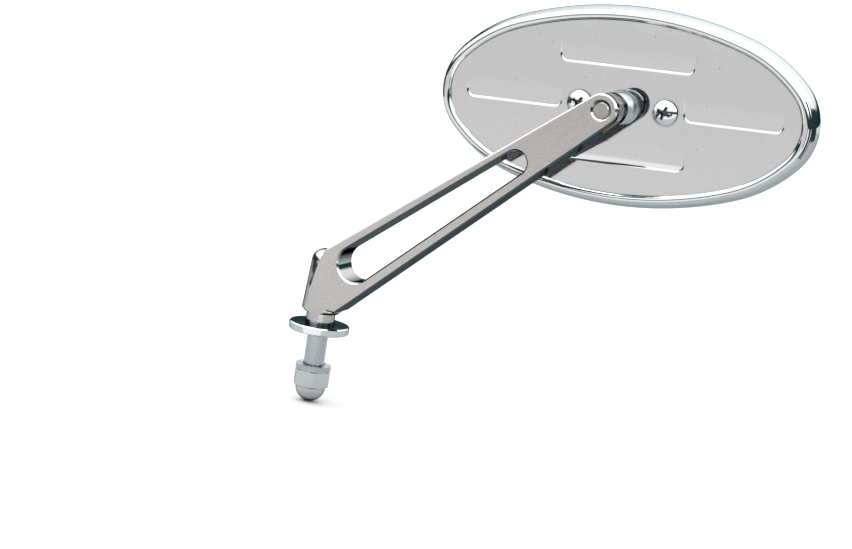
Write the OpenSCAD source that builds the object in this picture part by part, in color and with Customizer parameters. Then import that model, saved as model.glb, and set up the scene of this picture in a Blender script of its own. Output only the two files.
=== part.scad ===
// Motorcycle mirror: oval chrome head on a ball stud, slotted flat arm, threaded stem.
// Millimetres. +Z runs up the stem, X = Y = 0 is the stem axis, Z = 0 is the seat
// face under the washer. The arm rises towards +X, the glass faces +Y.

/* [Placement] */
// X of the ball stud axis at the arm tip
tip_x = 98.5; // [80:0.5:120]
// Z of the ball stud axis at the arm tip
tip_z = 102.7; // [85:0.1:120]
// Y of the flat back of the head
plate_y = 18.5; // [17.5:0.5:26]
// Rise of the head's long axis to the right, degrees
head_tilt = 3.3; // [0:0.1:10]
// Turn of the head about the upright through the ball, degrees
head_turn = 4.5; // [-5:0.5:6]

/* [Arm] */
// Thickness of the flat arm
arm_t = 12.7; // [11:0.1:14]
// Diameter of the rounded arm tip
arm_tip_d = 12; // [11:0.5:15]
// X of the lower corner at the foot of the arm
foot_corner_x = 8.2; // [7:0.1:9.5]
// Z of the lower corner at the foot of the arm
foot_corner_z = 9.2; // [8.8:0.1:11]
// X of the upper corner above the stem
shoulder_x = 1; // [0:0.1:3]
// Z of the upper corner above the stem
shoulder_z = 32.4; // [31:0.1:36]
// X of the flat's left corner below the shoulder
flat_left_x = -0.9; // [-2:0.1:0]
// Drop from the shoulder to that left corner
flat_left_drop = 4.4; // [3:0.1:6]
// Edge break on the arm's faces
edge_break = 0.6; // [0.2:0.1:0.9]

/* [Turned foot] */
// Z of the foot's lower face
foot_z = 7.5; // [6:0.1:8]
// Diameter of the turned foot at its lower end
foot_d = 15.2; // [14.6:0.1:16]
// Diameter of the turned foot at its upper end
foot_top_d = 12.8; // [12.8:0.1:13.6]
// Height of the turned foot's top
foot_top_z = 31.5; // [30:0.1:32]
// Rounding radius at the top of the foot
foot_round = 4.6; // [2:0.1:5]
// Chamfer at the lower end of the foot
foot_chamfer = 1; // [0.5:0.1:1.6]
// Diameter of the round neck under the foot
neck_d = 11; // [10:0.1:13]
// Depth of the tapped hole above the neck's lower end
stem_hole_l = 16; // [12:1:20]

/* [Slot in the arm] */
// X of the slot's wide end centre
slot_x = 13.4; // [13:0.1:16]
// Z of the slot's wide end centre
slot_z = 28.9; // [28:0.1:30]
// Width of the slot at its wide end
slot_d = 13.6; // [10:0.1:13.8]
// Length of the slot between the end centres
slot_l = 75; // [60:1:78]
// Slope of the slot's centre line, degrees
slot_slope = 41.3; // [40.8:0.1:42]
// Width of the slot at its narrow end
slot_tip_d = 8.8; // [6:0.1:9.2]

/* [Fork at the tip] */
// Thickness of the front ear
front_ear_t = 3.2; // [2.6:0.1:3.6]
// Width of the gap between the ears
fork_gap = 5; // [4.6:0.1:5.4]
// Depth of the gap behind the stud axis
fork_depth = 6.4; // [6.2:0.1:9]
// Diameter of the countersink around the stud's end
csk_d = 7.8; // [7:0.1:9]
// Depth of that countersink
csk_depth = 0.6; // [0.3:0.1:1.2]

/* [Ball stud] */
// Diameter of the stud's shank
shank_d = 6; // [5.6:0.1:6.2]
// Diameter of the stud's collar behind the arm
collar_d = 8.6; // [7:0.1:9]
// Thickness of that collar
collar_t = 1.4; // [0.8:0.1:1.8]
// Diameter of the stud's neck
ball_neck_d = 3.8; // [3:0.1:4]
// Diameter of the ball
ball_d = 7; // [6.6:0.1:7.1]
// Height of the ball's centre over the flat back of the head
ball_h = 3.8; // [3.7:0.1:4]
// Round on the stud's end face
end_round = 0.4; // [0.2:0.1:0.8]
// Width across flats of the lock nut
lock_af = 10; // [9:0.1:10.2]
// Thickness of the lock nut
lock_t = 3.2; // [2.5:0.1:4.2]

/* [Ball socket] */
// Wall of the two nylon liner halves
liner_t = 0.8; // [0.6:0.05:0.9]
// Running gap of each ball surface
run_gap = 0.03; // [0.02:0.01:0.06]
// Gap between the liner halves
liner_gap = 1.3; // [1.1:0.1:1.6]
// Height of the front liner's mouth over the ball's centre
liner_mouth_h = 2; // [1.8:0.1:2]
// Diameter of the round boss
boss_d = 11.4; // [11.2:0.1:12]
// Height of the boss over the flat back
boss_h = 7.2; // [7:0.1:7.4]
// Height at which the boss starts to dome
boss_dome_h = 3.4; // [3.2:0.1:3.8]
// Diameter of the boss's mouth
boss_mouth_d = 7.1; // [6.8:0.1:7.2]
// Diameter of the collar at the boss's base
boss_base_d = 12.4; // [12:0.1:13.4]
// Height of that base collar
boss_base_h = 0.7; // [0.4:0.1:1.2]
// Diameter of the boss's flange inside the head
boss_flange_d = 18; // [15:0.5:22]
// Thickness of that flange
boss_flange_t = 1; // [0.8:0.1:1.4]
// Diameter of the boss's bore for the pressure cup
boss_bore_d = 9.5; // [9.3:0.1:9.8]
// Depth of the boss's bore below the ball's centre
boss_bore_drop = 1.2; // [1.2:0.1:1.8]
// Height of the pressure cup's rim over the flat back
cup_h = 2.2; // [1.6:0.1:2.3]
// Depth of the pressure cup's back below the flat back
cup_back = 1.6; // [1.3:0.1:1.8]
// Gap around the pressure cup
cup_gap = 0.05; // [0.03:0.01:0.1]
// Sheet thickness of the spring washer
spring_t = 0.6; // [0.4:0.1:0.8]
// Bore of the spring washer
spring_bore_d = 4.6; // [4:0.1:6]

/* [Clamp plate and screws] */
// Distance between the two screws
screw_pitch = 32; // [28:0.5:36]
// Width of the clamp plate
clamp_w = 17; // [13:0.5:20]
// Thickness of the clamp plate
clamp_t = 2.2; // [1.8:0.1:2.3]
// Depth of the clamp plate's pocket for the spring
clamp_pocket = 0.6; // [0.4:0.1:0.9]
// Diameter of the screws' shanks
screw_d = 4.8; // [4:0.1:5.2]
// Diameter of the screws' pan heads
screw_head_d = 9; // [8:0.1:10]
// Height of the pan heads
screw_head_h = 2.9; // [2.4:0.1:3.4]
// Height of the pan heads at their edge
screw_edge_h = 1; // [0.6:0.1:1.6]
// Length of the screws under the head
screw_l = 5.4; // [5:0.1:5.5]
// Length of the cross recess
cross_l = 5; // [4:0.1:6]
// Width of the cross recess
cross_w = 1.1; // [0.8:0.1:1.4]
// Depth of the cross recess
cross_depth = 1.8; // [1:0.1:2.2]
// Turn of the left screw's recess, degrees
cross_turn_left = 58; // [0:1:89]
// Turn of the right screw's recess, degrees
cross_turn_right = 70; // [0:1:89]
// Gap around the screws in the back
screw_gap = 0.2; // [0.1:0.05:0.4]

/* [Head outline] */
// Radius of the arcs at the two ends
end_arc_r = 22.2; // [20:0.1:23]
// Radius of the four shoulder arcs
mid_arc_r = 53.5; // [50:0.1:64]
// Radius of the two long arcs, top and bottom
long_arc_r = 131.9; // [125:0.1:145]
// Angle at which an end arc ends, degrees
end_arc = 42.5; // [40:0.5:44]
// Angle at which a long arc begins, degrees
long_arc = 71; // [70:0.5:72]

/* [Head back] */
// Thickness of the back
back_t = 2; // [1.8:0.1:2.2]
// Distance from the head's edge to the crest of the rim bead
bead_in = 3.7; // [3.6:0.1:3.9]
// Radius of the rim bead's rounding
bead_r = 1.8; // [1.6:0.1:1.9]
// Height of the bead over the flat back
bead_h = 1.2; // [1:0.1:1.4]
// Distance from the head's edge to the side wall at the flat back
side_in = 2.06; // [2:0.02:2.1]
// Distance from the head's edge to the side wall's lower edge
side_low_in = 0.72; // [0.6:0.02:0.8]
// Depth of the side's lower edge below the flat back
side_depth = 4; // [3.6:0.1:4.4]
// Distance from the head's edge to the inside of the side wall
wall_in = 2.3; // [2.2:0.1:2.6]
// Distance from the edge to the inner rib
rib_inset = 7.2; // [6.9:0.1:8]
// Thickness of the inner rib
rib_t = 1.4; // [1:0.1:2]

/* [Louvres] */
// Depth of a louvre at its sharp edge
louvre_depth = 1; // [0.5:0.1:1.2]
// Height over which a louvre fades out
louvre_h = 8.3; // [6:0.1:9]
// Width of the slope along a louvre's edge
louvre_w = 0.9; // [0.4:0.1:1.4]
// Corner radius of a louvre
louvre_r = 3.2; // [2:0.1:4]
// Length of the top and bottom louvres' sharp edge
long_louvre_l = 50.5; // [40:0.5:52]
// Length of the side louvres' sharp edge
side_louvre_l = 37; // [30:0.5:38]
// Distance of the side louvres from the centre
side_louvre_x = 41; // [40:0.1:42]
// Height of the side louvres' sharp edge
side_louvre_z = -2.8; // [-6:0.1:0]
// Height of the top louvre's sharp edge
top_louvre_z = 14.2; // [12:0.1:18]
// Height of the bottom louvre's sharp edge
bottom_louvre_z = -21; // [-24:0.1:-19]

/* [Front ring, glass and seal] */
// Gap between the side and the front ring
seam = 0.15; // [0.1:0.05:0.4]
// Depth of the head's front face below the flat back
front_depth = 11.2; // [10.8:0.1:12]
// Curve radius of the front ring's side
ring_r = 14; // [13:0.1:15]
// Depth of the head's widest place below the flat back
wide_depth = 8.5; // [8.2:0.1:8.8]
// Radius of the rounding at the front ring's front edge
front_r = 5.9; // [5.6:0.1:6.2]
// Overhang of that rounding's circle past the head's edge
front_r_out = 0.4; // [0.2:0.1:0.6]
// Depth of that rounding's centre below the flat back
front_r_depth = 6.5; // [6.3:0.1:6.7]
// Wall of the front ring
ring_wall = 1.2; // [0.9:0.1:1.3]
// Thickness of the front ring's lip
lip_t = 0.9; // [0.6:0.1:1.2]
// Reach of the lip inwards from the head's edge
lip_reach = 7.4; // [6.8:0.1:8.4]
// Height of the ring's spigot inside the side
spigot_h = 1.2; // [0.8:0.1:1.4]
// Thickness of the ring's spigot
spigot_t = 1.1; // [0.8:0.1:1.3]
// Play of the ring's spigot inside the side
spigot_gap = 0.05; // [0.03:0.01:0.1]
// Thickness of the glass
glass_t = 3; // [2.5:0.1:3.2]
// Distance from the head's edge to the glass
glass_inset = 5.6; // [5.4:0.1:6]
// Play between glass and seal
seal_gap = 0.05; // [0.03:0.01:0.1]
// Wall of the seal around the glass
seal_t = 0.6; // [0.4:0.1:0.7]
// Thickness of the seal's foot
seal_foot_t = 0.9; // [0.7:0.1:1.1]
// Width of the seal's foot
seal_foot_w = 4; // [3.4:0.1:4.6]
// Thickness of the foam pad
pad_t = 1.6; // [1.2:0.1:1.7]
// Length of the foam pad
pad_l = 96; // [60:1:104]
// Width of the foam pad
pad_w = 44; // [30:1:46]

/* [Stem and fastening] */
// Outside diameter of the seat washer
washer_d = 23; // [19:0.5:26]
// Thickness of the seat washer
washer_t = 3; // [2.5:0.1:4]
// Bore of the seat washer
washer_bore_d = 8.4; // [8.2:0.1:9]
// Edge chamfer of the seat washer
washer_chamfer = 0.4; // [0.2:0.1:0.8]
// Diameter of the stem's plain shank in the lug
stem_d = 7.94; // [7.9:0.02:8]
// Mean diameter of the stem's thread above and below the shank
thread_d = 7.5; // [7.2:0.05:7.55]
// Play between the lug and the washers on either side of it
lug_gap = 0.3; // [0.2:0.1:0.5]
// Length of the stem below the seat face
stem_l = 24; // [22:0.5:30]
// Chamfer at the stem's lower end
stem_chamfer = 0.8; // [0.4:0.1:1.2]
// Thickness of the lug that the stem holds
grip_l = 13; // [10:0.5:16]
// Outside diameter of the lock washer
lockwasher_d = 13.5; // [12.5:0.1:15]
// Thickness of the lock washer
lockwasher_t = 2; // [1.5:0.1:2.4]
// Cut in the lock washer
lockwasher_cut = 1.2; // [0.8:0.1:2]
// Width across flats of the cap nut
nut_af = 12.7; // [12:0.1:13]
// Height of the cap nut's hexagon
nut_h = 6.5; // [5.5:0.1:8]
// Diameter of the cap nut's dome
nut_dome_d = 11.6; // [11:0.1:11.8]
// Radial play of threads and fitted shanks
thread_gap = 0.02; // [0.01:0.01:0.05]

/* [Hidden] */
$fn = 96;
eps = 0.01;
e = 0.05;
lap = 1.5;
half_t = arm_t / 2;
tip_r = arm_tip_d / 2;
hex_k = 2 / sqrt(3);

// Tangent point on the tip circle seen from p, side 1 is the left of the way to the tip
function tangent_pt(p, side) =
    let (dx = tip_x - p[0], dz = tip_z - p[1], d = norm([dx, dz]))
    let (way = atan2(dz, dx), turn = asin(tip_r / d))
    let (line = way + side * turn)
    [tip_x - side * tip_r * sin(line), tip_z + side * tip_r * cos(line)];

corner_low = [foot_corner_x, foot_corner_z];
corner_high = [shoulder_x, shoulder_z];
tan_low = tangent_pt(corner_low, -1);
tan_high = tangent_pt(corner_high, 1);
corner_left = [flat_left_x, shoulder_z - flat_left_drop];
foot_left = [0, foot_corner_z];

// Slot ends and the tangent points of its two straight edges
slot_a = [slot_x, slot_z];
slot_b = slot_a + slot_l * [cos(slot_slope), sin(slot_slope)];
slot_lean = asin((slot_d - slot_tip_d) / 2 / slot_l);
function slot_edge(c, d, side) =
    c + d / 2 * [cos(slot_slope + side * (90 - slot_lean)), sin(slot_slope + side * (90 - slot_lean))];

// Fork and stud, along Y
rear_y = half_t;
gap_front_y = -half_t + front_ear_t;
gap_rear_y = gap_front_y + fork_gap;
ball_y = plate_y - ball_h;
ball_r = ball_d / 2;

// Liner and socket radii about the ball's centre
liner_in_r = ball_r + run_gap;
liner_out_r = liner_in_r + liner_t;
socket_r = liner_out_r + run_gap;
cup_r = boss_bore_d / 2 - cup_gap;
flange_z = -back_t - boss_flange_t;
pocket_z = flange_z - clamp_pocket;
pocket_r = cup_r + cup_gap;

// Depths inside the head, below the flat back
glass_back_z = -front_depth + lip_t + glass_t;
rib_z = glass_back_z + seal_foot_t;
ring_top_z = -side_depth - seam;
bead_z = bead_h - bead_r;
rib_in = rib_inset + rib_t;
fill_out = rib_in + 1.5;

seal_out = glass_inset - seal_gap - seal_t;
seal_in = seal_out + seal_foot_w;

// Head outline: end, shoulder and long arcs that follow an ellipse within 0.2 mm
m3 = [0, -(long_arc_r - mid_arc_r) * sin(long_arc) - (mid_arc_r - end_arc_r) * sin(end_arc)];
m2 = m3 + (long_arc_r - mid_arc_r) * [cos(long_arc), sin(long_arc)];
m1 = [m2[0] + (mid_arc_r - end_arc_r) * cos(end_arc), 0];
// Each arc as [centre x, centre y, radius, start angle, sweep]
ARCS = [
    [m1[0], 0, end_arc_r, -end_arc, 2 * end_arc],
    [m2[0], m2[1], mid_arc_r, end_arc, long_arc - end_arc],
    [0, m3[1], long_arc_r, long_arc, 180 - 2 * long_arc],
    [-m2[0], m2[1], mid_arc_r, 180 - long_arc, long_arc - end_arc],
    [-m1[0], 0, end_arc_r, 180 - end_arc, 2 * end_arc],
    [-m2[0], -m2[1], mid_arc_r, 180 + end_arc, long_arc - end_arc],
    [0, -m3[1], long_arc_r, 180 + long_arc, 180 - 2 * long_arc],
    [m2[0], -m2[1], mid_arc_r, 360 - long_arc, long_arc - end_arc]
];
function arc_pt(a, off, t) = [a[0] + (a[2] + off) * cos(t), a[1] + (a[2] + off) * sin(t)];

ALLOY = [0.80, 0.80, 0.79];
CHROME = [0.86, 0.87, 0.88];
STEEL = [0.62, 0.63, 0.64];
NYLON = [0.90, 0.89, 0.84];
BLACK = [0.08, 0.08, 0.08];
GREY = [0.25, 0.25, 0.26];
GLASS = [0.72, 0.78, 0.80];

// Which sub-part to draw

// Placement helpers

module on_arm() {
    rotate([90, 0, 0]) children();
}

module on_stud() {
    translate([tip_x, 0, tip_z]) rotate([-90, 0, 0]) children();
}

// Head frame: X long axis, Y up, Z towards the arm, 0 at the flat back
module on_head() {
    translate([tip_x, ball_y, tip_z]) rotate([0, 0, head_turn]) rotate([0, -head_tilt, 0])
        rotate([90, 0, 0]) translate([0, 0, -ball_h]) children();
}

// Outline helpers

// Moves to an arc's centre in two steps, so that the position keeps all its digits
module at_centre(a) {
    coarse = [floor(a[0] * 100) / 100, floor(a[1] * 100) / 100];
    translate(coarse) translate([a[0] - coarse[0], a[1] - coarse[1]]) children();
}

module segment(a, off) {
    mid = a[3] + a[4] / 2;
    half = a[4] / 2;
    r = a[2] + off;
    at_centre(a) intersection() {
        circle(r = r, $fn = 240);
        rotate(mid) translate([r * cos(half) - lap, -r * sin(half)])
            square([r * (1 - cos(half)) + 2 * lap, 2 * r * sin(half)]);
    }
}

module oval(off) {
    polygon([for (a = ARCS) arc_pt(a, off, a[3])]);
    for (a = ARCS) segment(a, off);
}

// Sweeps a section round the outline: its x is the distance out from the edge, y is up
module rim_sweep() {
    for (a = ARCS)
        at_centre(a) rotate_extrude(angle = a[4], start = a[3], $fn = 240)
            translate([a[2], 0]) children();
}

// Break along a straight edge from p to q in a face at height z
module line_break(p, q, z) {
    l = norm(q - p);
    translate([p[0], p[1], z]) rotate([0, 0, atan2(q[1] - p[1], q[0] - p[0])])
        rotate([45, 0, 0]) translate([-e, -edge_break / sqrt(2), -edge_break / sqrt(2)])
            cube([l + 2 * e, edge_break * sqrt(2), edge_break * sqrt(2)]);
}

// Break along a round edge
module round_break(c, r, z) {
    translate([c[0], c[1], z]) rotate_extrude()
        polygon([[r - edge_break, 0], [r, edge_break], [r + edge_break, 0], [r, -edge_break]]);
}

// Arm

module arm_outline() {
    polygon([foot_left, corner_low, tan_low, [tip_x, tip_z], tan_high, corner_high, corner_left]);
    translate([tip_x, tip_z]) circle(d = arm_tip_d);
}

module slot_outline() {
    translate(slot_a) circle(d = slot_d);
    translate(slot_b) circle(d = slot_tip_d);
    polygon([slot_edge(slot_a, slot_d, 1), slot_edge(slot_b, slot_tip_d, 1),
        slot_b, slot_edge(slot_b, slot_tip_d, -1), slot_edge(slot_a, slot_d, -1), slot_a]);
}

// The turned foot, flattened front and rear to the arm's thickness
module turned_foot() {
    intersection() {
        rotate_extrude() union() {
            polygon([[0, foot_z], [foot_d / 2 - foot_chamfer, foot_z],
                [foot_d / 2, foot_z + foot_chamfer],
                [foot_top_d / 2, foot_top_z - foot_round],
                [foot_top_d / 2 - foot_round, foot_top_z - foot_round / 2],
                [0, foot_top_z - foot_round / 2]]);
            intersection() {
                translate([foot_top_d / 2 - foot_round, foot_top_z - foot_round]) circle(r = foot_round);
                translate([0, foot_top_z - foot_round - e]) square([foot_top_d / 2, foot_round + e]);
            }
            translate([0, foot_top_z - foot_round]) square([foot_top_d / 2 - foot_round, foot_round]);
        }
        translate([-foot_d, -half_t, 0]) cube([2 * foot_d, arm_t, foot_top_z + 1]);
    }
}

module arm_breaks() {
    for (z = [-half_t, half_t]) {
        line_break(corner_low, tan_low, z);
        line_break(corner_high, tan_high, z);
        line_break(foot_left, corner_low, z);
        intersection() {
            round_break([tip_x, tip_z], tip_r, z);
            translate([0, 0, z - 1]) linear_extrude(2)
                polygon([tan_low, [tip_x + 3 * tip_r, tip_z - tip_r],
                    [tip_x + tip_r, tip_z + 3 * tip_r], tan_high, [tip_x, tip_z]]);
        }
        line_break(slot_edge(slot_a, slot_d, 1), slot_edge(slot_b, slot_tip_d, 1), z);
        line_break(slot_edge(slot_a, slot_d, -1), slot_edge(slot_b, slot_tip_d, -1), z);
        round_break(slot_a, slot_d / 2, z);
        round_break(slot_b, slot_tip_d / 2, z);
    }
}

module arm() {
    color(ALLOY) difference() {
        union() {
            on_arm() difference() {
                translate([0, 0, -half_t]) linear_extrude(arm_t) arm_outline();
                arm_breaks();
            }
            turned_foot();
            translate([0, 0, washer_t]) cylinder(d = neck_d, h = foot_z - washer_t + 1);
        }
        on_arm() translate([0, 0, -arm_t]) linear_extrude(2 * arm_t) slot_outline();
        // Gap of the fork, open past the tip
        on_arm() translate([0, 0, -gap_rear_y]) linear_extrude(fork_gap)
            translate([tip_x, tip_z]) rotate(slot_slope)
                translate([-fork_depth, -2 * tip_r]) square([4 * tip_r, 4 * tip_r]);
        // Bore for the stud through both ears, countersunk in front
        on_stud() translate([0, 0, -arm_t]) cylinder(d = shank_d + 2 * thread_gap, h = 2 * arm_t);
        on_stud() translate([0, 0, -half_t - eps])
            cylinder(d1 = csk_d, d2 = shank_d, h = csk_depth + eps);
        translate([0, 0, washer_t - 1]) cylinder(d = thread_d + 2 * thread_gap, h = stem_hole_l + 1);
    }
}

module mount_stem() {
    color(STEEL) {
        translate([0, 0, -stem_l + stem_chamfer])
            cylinder(d = thread_d, h = stem_l - stem_chamfer + washer_t + stem_hole_l - stem_chamfer);
        translate([0, 0, lug_gap - grip_l]) cylinder(d = stem_d, h = grip_l - 2 * lug_gap);
        translate([0, 0, -stem_l])
            cylinder(d1 = thread_d - 2 * stem_chamfer, d2 = thread_d, h = stem_chamfer);
    }
}

module seat_washer() {
    color(CHROME) rotate_extrude() polygon([
        [washer_bore_d / 2, 0], [washer_d / 2 - washer_chamfer, 0], [washer_d / 2, washer_chamfer],
        [washer_d / 2, washer_t - washer_chamfer], [washer_d / 2 - washer_chamfer, washer_t],
        [washer_bore_d / 2, washer_t]]);
}

module lock_washer() {
    color(STEEL) translate([0, 0, -grip_l - lockwasher_t]) difference() {
        cylinder(d = lockwasher_d, h = lockwasher_t);
        translate([0, 0, -1]) cylinder(d = washer_bore_d, h = lockwasher_t + 2);
        rotate([0, 0, 70]) rotate([25, 0, 0]) translate([0, -lockwasher_cut / 2, -lockwasher_d])
            cube([lockwasher_d, lockwasher_cut, 3 * lockwasher_d]);
    }
}

module cap_nut() {
    top = -grip_l - lockwasher_t;
    color(CHROME) difference() {
        union() {
            intersection() {
                translate([0, 0, top - nut_h]) cylinder(d = nut_af * hex_k, h = nut_h, $fn = 6);
                translate([0, 0, top - nut_h]) rotate_extrude() polygon([[0, 0],
                    [nut_dome_d / 2, 0], [nut_af * hex_k / 2, (nut_af * hex_k - nut_dome_d) / 4],
                    [nut_af * hex_k / 2, nut_h - stem_chamfer / 2],
                    [nut_af / 2, nut_h], [0, nut_h]]);
            }
            intersection() {
                translate([0, 0, top - nut_h]) sphere(d = nut_dome_d);
                translate([0, 0, top - nut_h - nut_dome_d]) cylinder(d = nut_dome_d, h = nut_dome_d + 1);
            }
        }
        translate([0, 0, -stem_l - stem_chamfer]) cylinder(d = thread_d + 2 * thread_gap, h = stem_l);
    }
}

// Ball stud and its lock nut in the fork, drawn along Y from the front face

module ball_stud() {
    color(CHROME) on_stud() {
        translate([0, 0, -half_t + end_round]) cylinder(d = shank_d, h = arm_t - end_round + eps);
        translate([0, 0, -half_t]) cylinder(d1 = shank_d - 2 * end_round, d2 = shank_d, h = end_round);
        translate([0, 0, rear_y]) cylinder(d = collar_d, h = collar_t);
        translate([0, 0, rear_y]) cylinder(d = ball_neck_d, h = ball_y - rear_y);
        translate([0, 0, ball_y]) sphere(d = ball_d);
    }
}

module lock_nut() {
    color(STEEL) on_stud() translate([0, 0, gap_rear_y - lock_t]) rotate([0, 0, 30]) difference() {
        cylinder(d = lock_af * hex_k, h = lock_t, $fn = 6);
        translate([0, 0, -1]) cylinder(d = shank_d + 2 * thread_gap, h = lock_t + 2);
    }
}

// Liner halves: two nylon rings of ball shape between the ball and its socket

module liner_shell() {
    difference() {
        sphere(r = liner_out_r);
        sphere(r = liner_in_r);
    }
}

module liner_rear() {
    color(NYLON) on_head() translate([0, 0, ball_h]) intersection() {
        liner_shell();
        translate([0, 0, -2 * liner_out_r]) cylinder(r = liner_out_r + 1, h = 2 * liner_out_r - liner_gap / 2);
    }
}

module liner_front() {
    color(NYLON) on_head() translate([0, 0, ball_h]) intersection() {
        liner_shell();
        translate([0, 0, liner_gap / 2]) cylinder(r = liner_out_r + 1, h = liner_mouth_h - liner_gap / 2);
    }
}

module socket_boss() {
    color(CHROME) on_head() difference() {
        union() {
            translate([0, 0, -back_t - eps]) cylinder(d = boss_base_d, h = back_t + boss_base_h + eps);
            translate([0, 0, flange_z]) cylinder(d = boss_flange_d, h = boss_flange_t);
            cylinder(d = boss_d, h = boss_dome_h);
            intersection() {
                translate([0, 0, boss_dome_h]) sphere(d = boss_d);
                translate([0, 0, boss_dome_h - e]) cylinder(d = boss_d + 1, h = boss_h - boss_dome_h + e);
            }
        }
        translate([0, 0, ball_h]) sphere(r = socket_r);
        translate([0, 0, ball_h - boss_bore_drop - e]) cylinder(r = socket_r, h = boss_bore_drop + e);
        translate([0, 0, flange_z - 1])
            cylinder(d = boss_bore_d, h = ball_h - boss_bore_drop - flange_z + 1);
        translate([0, 0, ball_h]) cylinder(d = boss_mouth_d, h = boss_h);
    }
}

module pressure_cup() {
    color(NYLON) on_head() difference() {
        translate([0, 0, -cup_back]) cylinder(r = cup_r, h = cup_h + cup_back);
        translate([0, 0, ball_h]) sphere(r = socket_r);
    }
}

module spring_washer() {
    color(STEEL) on_head() rotate_extrude() polygon([
        [spring_bore_d / 2, -cup_back], [spring_bore_d / 2, -cup_back - spring_t],
        [cup_r, pocket_z], [cup_r, pocket_z + spring_t]]);
}

module clamp_plate() {
    color(STEEL) on_head() difference() {
        translate([0, 0, flange_z - clamp_t]) linear_extrude(clamp_t) {
            for (s = [-1, 1]) translate([s * screw_pitch / 2, 0]) circle(d = clamp_w);
            translate([-screw_pitch / 2, -clamp_w / 2]) square([screw_pitch, clamp_w]);
        }
        translate([0, 0, pocket_z]) cylinder(r = pocket_r, h = clamp_pocket + 1);
        for (s = [-1, 1]) translate([s * screw_pitch / 2, 0, flange_z - clamp_t - 1])
            cylinder(d = screw_d + 2 * thread_gap, h = clamp_t + 2);
    }
}

// Pan head screw with a cross recess
module pan_screw(turn) {
    cap = screw_head_h - screw_edge_h;
    cap_r = (pow(screw_head_d / 2, 2) + cap * cap) / (2 * cap);
    difference() {
        union() {
            cylinder(d = screw_head_d, h = screw_edge_h + eps);
            intersection() {
                translate([0, 0, screw_head_h - cap_r]) sphere(r = cap_r);
                translate([0, 0, screw_edge_h]) cylinder(d = screw_head_d, h = cap + 1);
            }
            translate([0, 0, -screw_l]) cylinder(d = screw_d, h = screw_l + eps);
        }
        translate([0, 0, screw_head_h - cross_depth]) rotate([0, 0, turn]) for (t = [0, 90])
            rotate([0, 0, t]) translate([-cross_l / 2, -cross_w / 2, 0])
                cube([cross_l, cross_w, cross_depth + 1]);
        translate([0, 0, screw_head_h - cross_depth])
            cylinder(d1 = cross_w, d2 = 2.2 * cross_w, h = cross_depth + e);
    }
}

module screw_left() {
    color(CHROME) on_head() translate([-screw_pitch / 2, 0, 0]) pan_screw(cross_turn_left);
}

module screw_right() {
    color(CHROME) on_head() translate([screw_pitch / 2, 0, 0]) pan_screw(cross_turn_right);
}

// Louvre: a shallow tray pressed into the back, deepest along its lower edge and fading
// out upwards, with a sloped edge below and at both rounded ends
module louvre(l) {
    k = louvre_r;
    d = louvre_depth;
    w = louvre_w;
    intersection() {
        union() {
            rotate([90, 0, 90]) translate([0, 0, k - l / 2]) linear_extrude(l - 2 * k)
                polygon([[-w, d], [w, -d], [louvre_h, -d], [louvre_h, d]]);
            for (s = [-1, 1]) translate([s * (l / 2 - k), k, -d]) cylinder(r1 = k - w, r2 = k + w, h = 2 * d);
            translate([0, louvre_h, 0]) rotate([90, 0, 0]) linear_extrude(louvre_h - k)
                polygon([[-l / 2 - w, d], [w - l / 2, -d], [l / 2 - w, -d], [l / 2 + w, d]]);
        }
        rotate([90, 0, 90]) translate([0, 0, -l]) linear_extrude(2 * l)
            polygon([[-k, d], [-k, -d], [0, -d], [louvre_h, 0], [louvre_h, d]]);
    }
}

// Section of the rim: rounded bead, side wall that widens downwards, start of the flat back
// and the rib for the seal
module rim_section() {
    translate([-bead_in, bead_z]) circle(r = bead_r);
    polygon([[-fill_out, 0], [-side_in, 0], [-side_low_in, -side_depth], [-wall_in, -side_depth],
        [-wall_in, -back_t], [-fill_out, -back_t]]);
    translate([-rib_in, rib_z]) square([rib_t, -rib_z - back_t / 2]);
}

// The flat back inside the rim, its edge buried in the rim's flange
module back_fill() {
    translate([0, 0, -back_t]) linear_extrude(back_t)
        polygon([for (a = ARCS) for (k = [0:3]) arc_pt(a, -rib_in, a[3] + a[4] * k / 4)]);
}

module head_back() {
    color(CHROME) on_head() difference() {
        union() {
            rim_sweep() rim_section();
            back_fill();
        }
        translate([0, 0, -back_t - 1]) cylinder(d = boss_base_d + 2 * cup_gap, h = back_t + 2);
        for (s = [-1, 1]) translate([s * screw_pitch / 2, 0, -back_t - 1])
            cylinder(d = screw_d + 2 * screw_gap, h = back_t + 2);
        translate([0, top_louvre_z, 0]) louvre(long_louvre_l);
        translate([0, bottom_louvre_z, 0]) louvre(long_louvre_l);
        for (s = [-1, 1]) translate([s * side_louvre_x, side_louvre_z, 0]) louvre(side_louvre_l);
    }
}

// Disc pair whose common part is the front ring's outside, taken in by a wall
module ring_profile(wall) {
    intersection() {
        translate([-ring_r, -wide_depth]) circle(r = ring_r - wall);
        translate([front_r_out - front_r, -front_r_depth]) circle(r = front_r - wall);
        translate([-ring_r, -front_depth]) square([2 * ring_r, front_depth + ring_top_z]);
    }
}

// Section of the front ring: curved wall, lip over the glass, spigot in the side
module ring_section() {
    difference() {
        ring_profile(0);
        ring_profile(ring_wall);
        translate([-3 * ring_r, -2 * front_depth]) square([3 * ring_r - lip_reach, 3 * front_depth]);
    }
    intersection() {
        ring_profile(0);
        translate([-lip_reach, -front_depth]) square([lip_reach, lip_t]);
    }
    translate([-wall_in - spigot_gap - spigot_t, ring_top_z - spigot_h])
        square([spigot_t, 2 * spigot_h]);
    translate([-wall_in - spigot_gap - spigot_t, ring_top_z - spigot_h])
        square([wall_in + spigot_gap + spigot_t - side_low_in - ring_wall / 2, spigot_h]);
}

module front_ring() {
    color(CHROME) on_head() rim_sweep() ring_section();
}

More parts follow.
